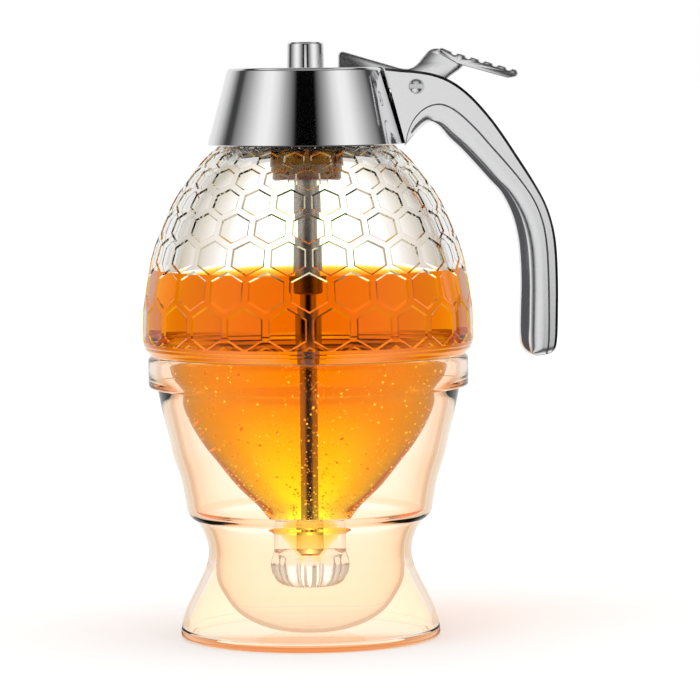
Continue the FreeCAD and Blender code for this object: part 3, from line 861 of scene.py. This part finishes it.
def makeLever():  # the cast lever: tongue, hub, neck and notched thumb pad
    x, z = handle["pivot"]
    tongue = [(10.2, 158.3), (9.4, 159.2), (9.4, 167.2)] + arcLine((10.7, 167.9), 1.3, 180, 72, 6)
    neck = flowLine([(27.2, 164.3), (29.6, 164.1), (31.9, 165.2), (34.0, 167.6), (35.9, 169.5),
                     (38.0, 169.9)])
    gusset = [(44.4, 167.4), (45.6, 164.9), (44.2, 163.6), (41.6, 161.9), (36.2, 157.4)]
    hub = arcLine((x, z), lever["hub"], -22, -158, 12)
    outline = tongue + neck + gusset + hub + [(26.6, 158.3)]
    blade = plateLine("leverBlade", outline, lever["half"], lever["bladeEdge"])
    (left, high), (right, low) = lever["padStart"], lever["padEnd"]
    tilt = math.atan2(low - high, right - left)
    turned = [(left + s * math.cos(tilt) - t * math.sin(tilt),
               high + s * math.sin(tilt) + t * math.cos(tilt)) for s, t in padLine()]
    pad = plateLine("leverPad", turned, lever["padHalf"], lever["padEdge"])
    cutAway(blade, pad, "UNION")
    cutAway(blade, crossPin("hubTool", handle["pivot"], handle["pin"] + lever["pinRoom"], 8))
    return blade


putOn(makeLever(), 30, leverBody, "lever_satin", satin, "thumb_lever")
print("lever made")


# The camera, in metres and degrees, with its sensor in millimetres.
view = {"distance": 1.12, "pitch": 4.2, "roll": -0.5, "aim": (0.0121, 0.0, 0.0829), "field": 0.203,
        "sensor": 36}


def makeCamera():
    data = bpy.data.cameras.new("camera")
    camera = bpy.data.objects.new("camera", data)
    bpy.context.scene.collection.objects.link(camera)
    data.sensor_width = view["sensor"]
    data.lens = view["sensor"] / 2 / (view["field"] / 2 / view["distance"])
    pitch = math.radians(view["pitch"])
    back = Vector((0, -math.cos(pitch), math.sin(pitch))) * view["distance"]
    turn = (-back).to_track_quat("-Z", "Y").to_matrix().to_4x4()
    camera.matrix_world = Matrix.Translation(Vector(view["aim"]) + back) @ turn @ Matrix.Rotation(
        math.radians(view["roll"]), 4, "Z")
    bpy.context.scene.camera = camera


# The studio. A ramp is a list of grey levels by degrees round from the front, and the ceiling's by height.
studio = {
    "floorSize": 60, "floorDrop": 0.0002, "floorColour": "#F5F5F5", "skyLight": 0.95,
    "throughGlass": 1.36,  # makes up for what clear walls keep back
    # mirrored by metal and by the outsides of clear pieces: pale walls, dark flags, and a strip in front
    "walls": [(0, 0.0), (13, 0.0), (17, 0.13), (22, 0.3), (30, 0.58), (40, 1.02), (51, 1.29), (62, 1.24),
              (74, 0.89), (87, 0.51), (97, 0.3), (104, 0.07), (112, 0.07), (120, 0.36), (129, 0.74),
              (142, 1.02), (180, 1.05)],
    "strip": [(0, 1.0), (6, 1.0), (8, 0.0)], "stripHeight": (0.12, 0.25),
    "ceiling": [(0.0, 0.0), (0.56, 0.0), (0.64, 0.05), (0.74, 0.05), (0.8, 0.9), (0.88, 0.9), (0.94, 0.1)],
    "ceilingHeight": (0.56, 0.64),
    # seen through clear pieces, darker at the sides so that their edges draw themselves
    "backdrop": [(0, 1.0), (94, 1.0), (108, 0.6), (120, 0.42), (138, 0.42), (150, 0.56), (160, 0.72),
                 (168, 0.92), (174, 1.0)],
    "backFloor": [(0, 1.0), (94, 1.0), (108, 0.45), (120, 0.22), (138, 0.2), (150, 0.4), (158, 0.72),
                  (162, 1.0), (166, 0.82), (172, 0.95), (176, 1.0)],
    "warmth": 0.14, "upperTone": "#CBC2A6", "upperHeight": (0.22, 0.7),
    # a glow behind the funnel
    "glowPlace": (0, 1, 0.16), "glowReach": (0.04, 0.24), "glowTint": [1.25, 1.9, 1.0, 1],
    # mirrored inside clear pieces
    "inside": [(0, 0.0), (25, 0.03), (45, 0.4), (60, 0.8), (180, 0.9)],
    "insideUpper": "#E6E4E0", "insideHeight": (0.15, 0.4),
    "paintedWarmPool": "#FCE6CE", "paintedWarmPoolInside": "#EBDCC6", "nearReach": (0.08, 0.7),  # a painted pool of warm light on the floor round the stand, seen through clear pieces
}


def greyStops(ramp, stops, full=180, warm=0.0):  # fills a ramp's stops, the darker ones warmer
    elements = ramp.color_ramp.elements
    while len(elements) < len(stops):
        elements.new(1.0)
    for element, (place, level) in zip(elements, stops):
        element.position = place / full
        shade = warm * max(0.0, 1 - level)
        element.color = (level, level * (1 - shade), level * (1 - 2.5 * shade), 1)
    return ramp.outputs[0]


def roundFromFront(tree, axes):  # how far a place or direction is round: 0 in front and 1 at the back
    side = addNode(tree, "Math", {"operation": "ABSOLUTE"}, {0: axes.outputs["X"]})
    front = addNode(tree, "Math", {"operation": "MULTIPLY", 1: -1.0}, {0: axes.outputs["Y"]})
    turn = addNode(tree, "Math", {"operation": "ARCTAN2"}, {0: side.outputs[0], 1: front.outputs[0]})
    share = addNode(tree, "Math", {"operation": "DIVIDE", 1: math.pi}, {0: turn.outputs[0]})
    return share.outputs[0]


def rayKinds(tree):  # rays that the studio's ramps are for, and those mirrored inside clear pieces
    path = addNode(tree, "LightPath")
    lit = addNode(tree, "Math", {"operation": "MAXIMUM"},
                  {0: path.outputs["Is Glossy Ray"], 1: path.outputs["Is Transmission Ray"]})
    inside = addNode(tree, "Math", {"operation": "GREATER_THAN", 1: 0.5},
                     {0: path.outputs["Glossy Depth"]})
    return path, lit.outputs[0], inside.outputs[0]


def makeFloor():
    dropAll()
    bpy.ops.mesh.primitive_plane_add(size=studio["floorSize"], location=(0, 0, -studio["floorDrop"]))
    floor = named("studioFloor")
    finish, tree = newFinish("paleFloor")
    path, lit, inside = rayKinds(tree)
    place = addNode(tree, "TexCoord").outputs["Object"]
    turn = roundFromFront(tree, addNode(tree, "SeparateXYZ", links={0: place}))
    walls, strip, back, within = [
        greyStops(addNode(tree, "ValToRGB", links={"Fac": turn}), studio[name], warm=warm)
        for name, warm in (("walls", 0), ("strip", 0), ("backFloor", studio["warmth"]), ("inside", 0))]
    mirrored = addNode(tree, "Math", {"operation": "MAXIMUM"}, {0: walls, 1: strip})
    distance = addNode(tree, "VectorMath", {"operation": "LENGTH"}, {0: place})
    # a painted pool of warm light round the stand, where the floor is seen through clear pieces
    low, high = studio["nearReach"]
    far = addNode(tree, "MapRange",
                  {"interpolation_type": "SMOOTHSTEP", "From Min": low, "From Max": high},
                  {"Value": distance.outputs["Value"]})
    seen = addNode(tree, "Mix", {"data_type": "RGBA", 6: paint(studio["paintedWarmPool"])},
                   {0: far.outputs[0], 7: back})
    bounced = addNode(tree, "Mix", {"data_type": "RGBA", 6: paint(studio["paintedWarmPoolInside"])},
                      {0: far.outputs[0], 7: within})
    through = addNode(tree, "Mix", {"data_type": "RGBA"},
                      {0: inside, 6: seen.outputs[2], 7: bounced.outputs[2]})
    tone = addNode(tree, "Mix", {"data_type": "RGBA"},
                   {0: path.outputs["Is Transmission Ray"], 6: mirrored.outputs[0], 7: through.outputs[2]})
    level = addNode(tree, "MapRange", {"To Min": studio["throughGlass"], "To Max": 1.0},
                    {"Value": inside})
    shine = addNode(tree, "Emission", links={"Color": tone.outputs[2], "Strength": level.outputs[0]})
    matt = addNode(tree, "BsdfDiffuse", {"Color": paint(studio["floorColour"])})
    both = addNode(tree, "MixShader", links={0: lit, 1: matt.outputs[0], 2: shine.outputs[0]})
    addNode(tree, "OutputMaterial", links={"Surface": both.outputs[0]})
    giveFinishes(floor, finish)


def makeWorld():  # white behind the object, and pale walls and dark flags for what reflects
    world = bpy.data.worlds.new("studio")
    bpy.context.scene.world = world
    world.use_nodes = True
    tree = world.node_tree
    tree.nodes.clear()
    path, lit, inside = rayKinds(tree)
    place = addNode(tree, "TexCoord").outputs["Generated"]
    axes = addNode(tree, "SeparateXYZ", links={0: place})
    height = axes.outputs["Z"]
    turn = roundFromFront(tree, axes)
    walls, strip, back, within = [
        greyStops(addNode(tree, "ValToRGB", links={"Fac": turn}), studio[name], warm=warm)
        for name, warm in (("walls", 0), ("strip", 0), ("backdrop", studio["warmth"]), ("inside", 0))]
    ceiling = greyStops(addNode(tree, "ValToRGB", links={"Fac": height}), studio["ceiling"], full=1)
    overStrip, overWalls, upwards, steep = [
        addNode(tree, "MapRange",
                {"interpolation_type": kind, "From Min": studio[name][0], "From Max": studio[name][1]},
                {"Value": height}).outputs[0]
        for name, kind in (("stripHeight", "LINEAR"), ("ceilingHeight", "LINEAR"),
                           ("upperHeight", "SMOOTHSTEP"), ("insideHeight", "LINEAR"))]

    # what is mirrored
    low = addNode(tree, "Math", {"operation": "SUBTRACT", 0: 1.0}, {1: overStrip})
    low = addNode(tree, "Math", {"operation": "MULTIPLY"}, {0: low.outputs[0], 1: strip})
    around = addNode(tree, "Math", {"operation": "MAXIMUM"}, {0: walls, 1: low.outputs[0]})
    mirrored = addNode(tree, "Mix", {"data_type": "RGBA"},
                       {0: overWalls, 6: around.outputs[0], 7: ceiling})

    # what is seen through clear pieces, with a glow behind the funnel
    upper = addNode(tree, "Mix",
                    {"data_type": "RGBA", 6: paint("#FFFFFF"), 7: paint(studio["upperTone"])}, {0: upwards})
    behind = addNode(tree, "VectorMath", {"operation": "MULTIPLY"}, {0: back, 1: upper.outputs[2]})
    behind = addNode(tree, "VectorMath", {"operation": "SCALE", "Scale": studio["throughGlass"]},
                     {0: behind.outputs[0]})
    offGlow = addNode(tree, "VectorMath", {"operation": "DISTANCE", 1: studio["glowPlace"]}, {0: place})
    near, reach = studio["glowReach"]
    glow = addNode(tree, "MapRange",
                   {"interpolation_type": "SMOOTHSTEP", "From Min": near, "From Max": reach,
                    "To Min": 1.0, "To Max": 0.0}, {"Value": offGlow.outputs["Value"]})
    glow = addNode(tree, "Mix", {"data_type": "RGBA", 6: [1, 1, 1, 1], 7: studio["glowTint"]},
                   {0: glow.outputs[0]})
    behind = addNode(tree, "VectorMath", {"operation": "MULTIPLY"},
                     {0: behind.outputs[0], 1: glow.outputs[2]})
    bounced = addNode(tree, "Mix", {"data_type": "RGBA", 7: paint(studio["insideUpper"])},
                      {0: steep, 6: within})
    through = addNode(tree, "Mix", {"data_type": "RGBA"},
                      {0: inside, 6: behind.outputs[0], 7: bounced.outputs[2]})

    tone = addNode(tree, "Mix", {"data_type": "RGBA"},
                   {0: path.outputs["Is Transmission Ray"], 6: mirrored.outputs[2], 7: through.outputs[2]})
    shine = addNode(tree, "Background", {"Strength": 1.0}, {"Color": tone.outputs[2]})
    plain = addNode(tree, "Background", {"Color": paint("#FFFFFF"), "Strength": 1.0})
    lamp = addNode(tree, "Background", {"Color": paint("#FFFFFF"), "Strength": studio["skyLight"]})
    sky = addNode(tree, "MixShader", links={0: lit, 1: lamp.outputs[0], 2: shine.outputs[0]})
    sky = addNode(tree, "MixShader",
                  links={0: path.outputs["Is Camera Ray"], 1: sky.outputs[0], 2: plain.outputs[0]})
    addNode(tree, "OutputWorld", links={"Surface": sky.outputs[0]})


lamps = {  # direction, strength and softness in degrees
    "keyLamp": ((0.55, 0.6, -1.0), 0.75, 50),
    "fillLamp": ((-0.7, 0.4, -1.0), 0.35, 60),
}


# A broad, soft lamp a long way off, so that it lights the floor evenly.
def makeLamp(name, towards, strength, softness):
    data = bpy.data.lights.new(name, "SUN")
    data.energy = strength
    data.angle = math.radians(softness)
    lamp = bpy.data.objects.new(name, data)
    bpy.context.scene.collection.objects.link(lamp)
    lamp.location = [-3 * t for t in towards]
    lamp.rotation_mode = "QUATERNION"
    lamp.rotation_quaternion = Vector(towards).to_track_quat("-Z", "Y")
    lamp.visible_glossy = False


makeCamera()
makeFloor()
makeWorld()
for lampName, (towards, strength, softness) in lamps.items():
    makeLamp(lampName, towards, strength, softness)

scene = bpy.context.scene
scene.view_settings.view_transform = "Standard"
scene.cycles.max_bounces = 32  # a ray crosses many clear walls
scene.cycles.transmission_bounces = 32
scene.cycles.transparent_max_bounces = 32
scene.cycles.glossy_bounces = 8

print("studio ready")
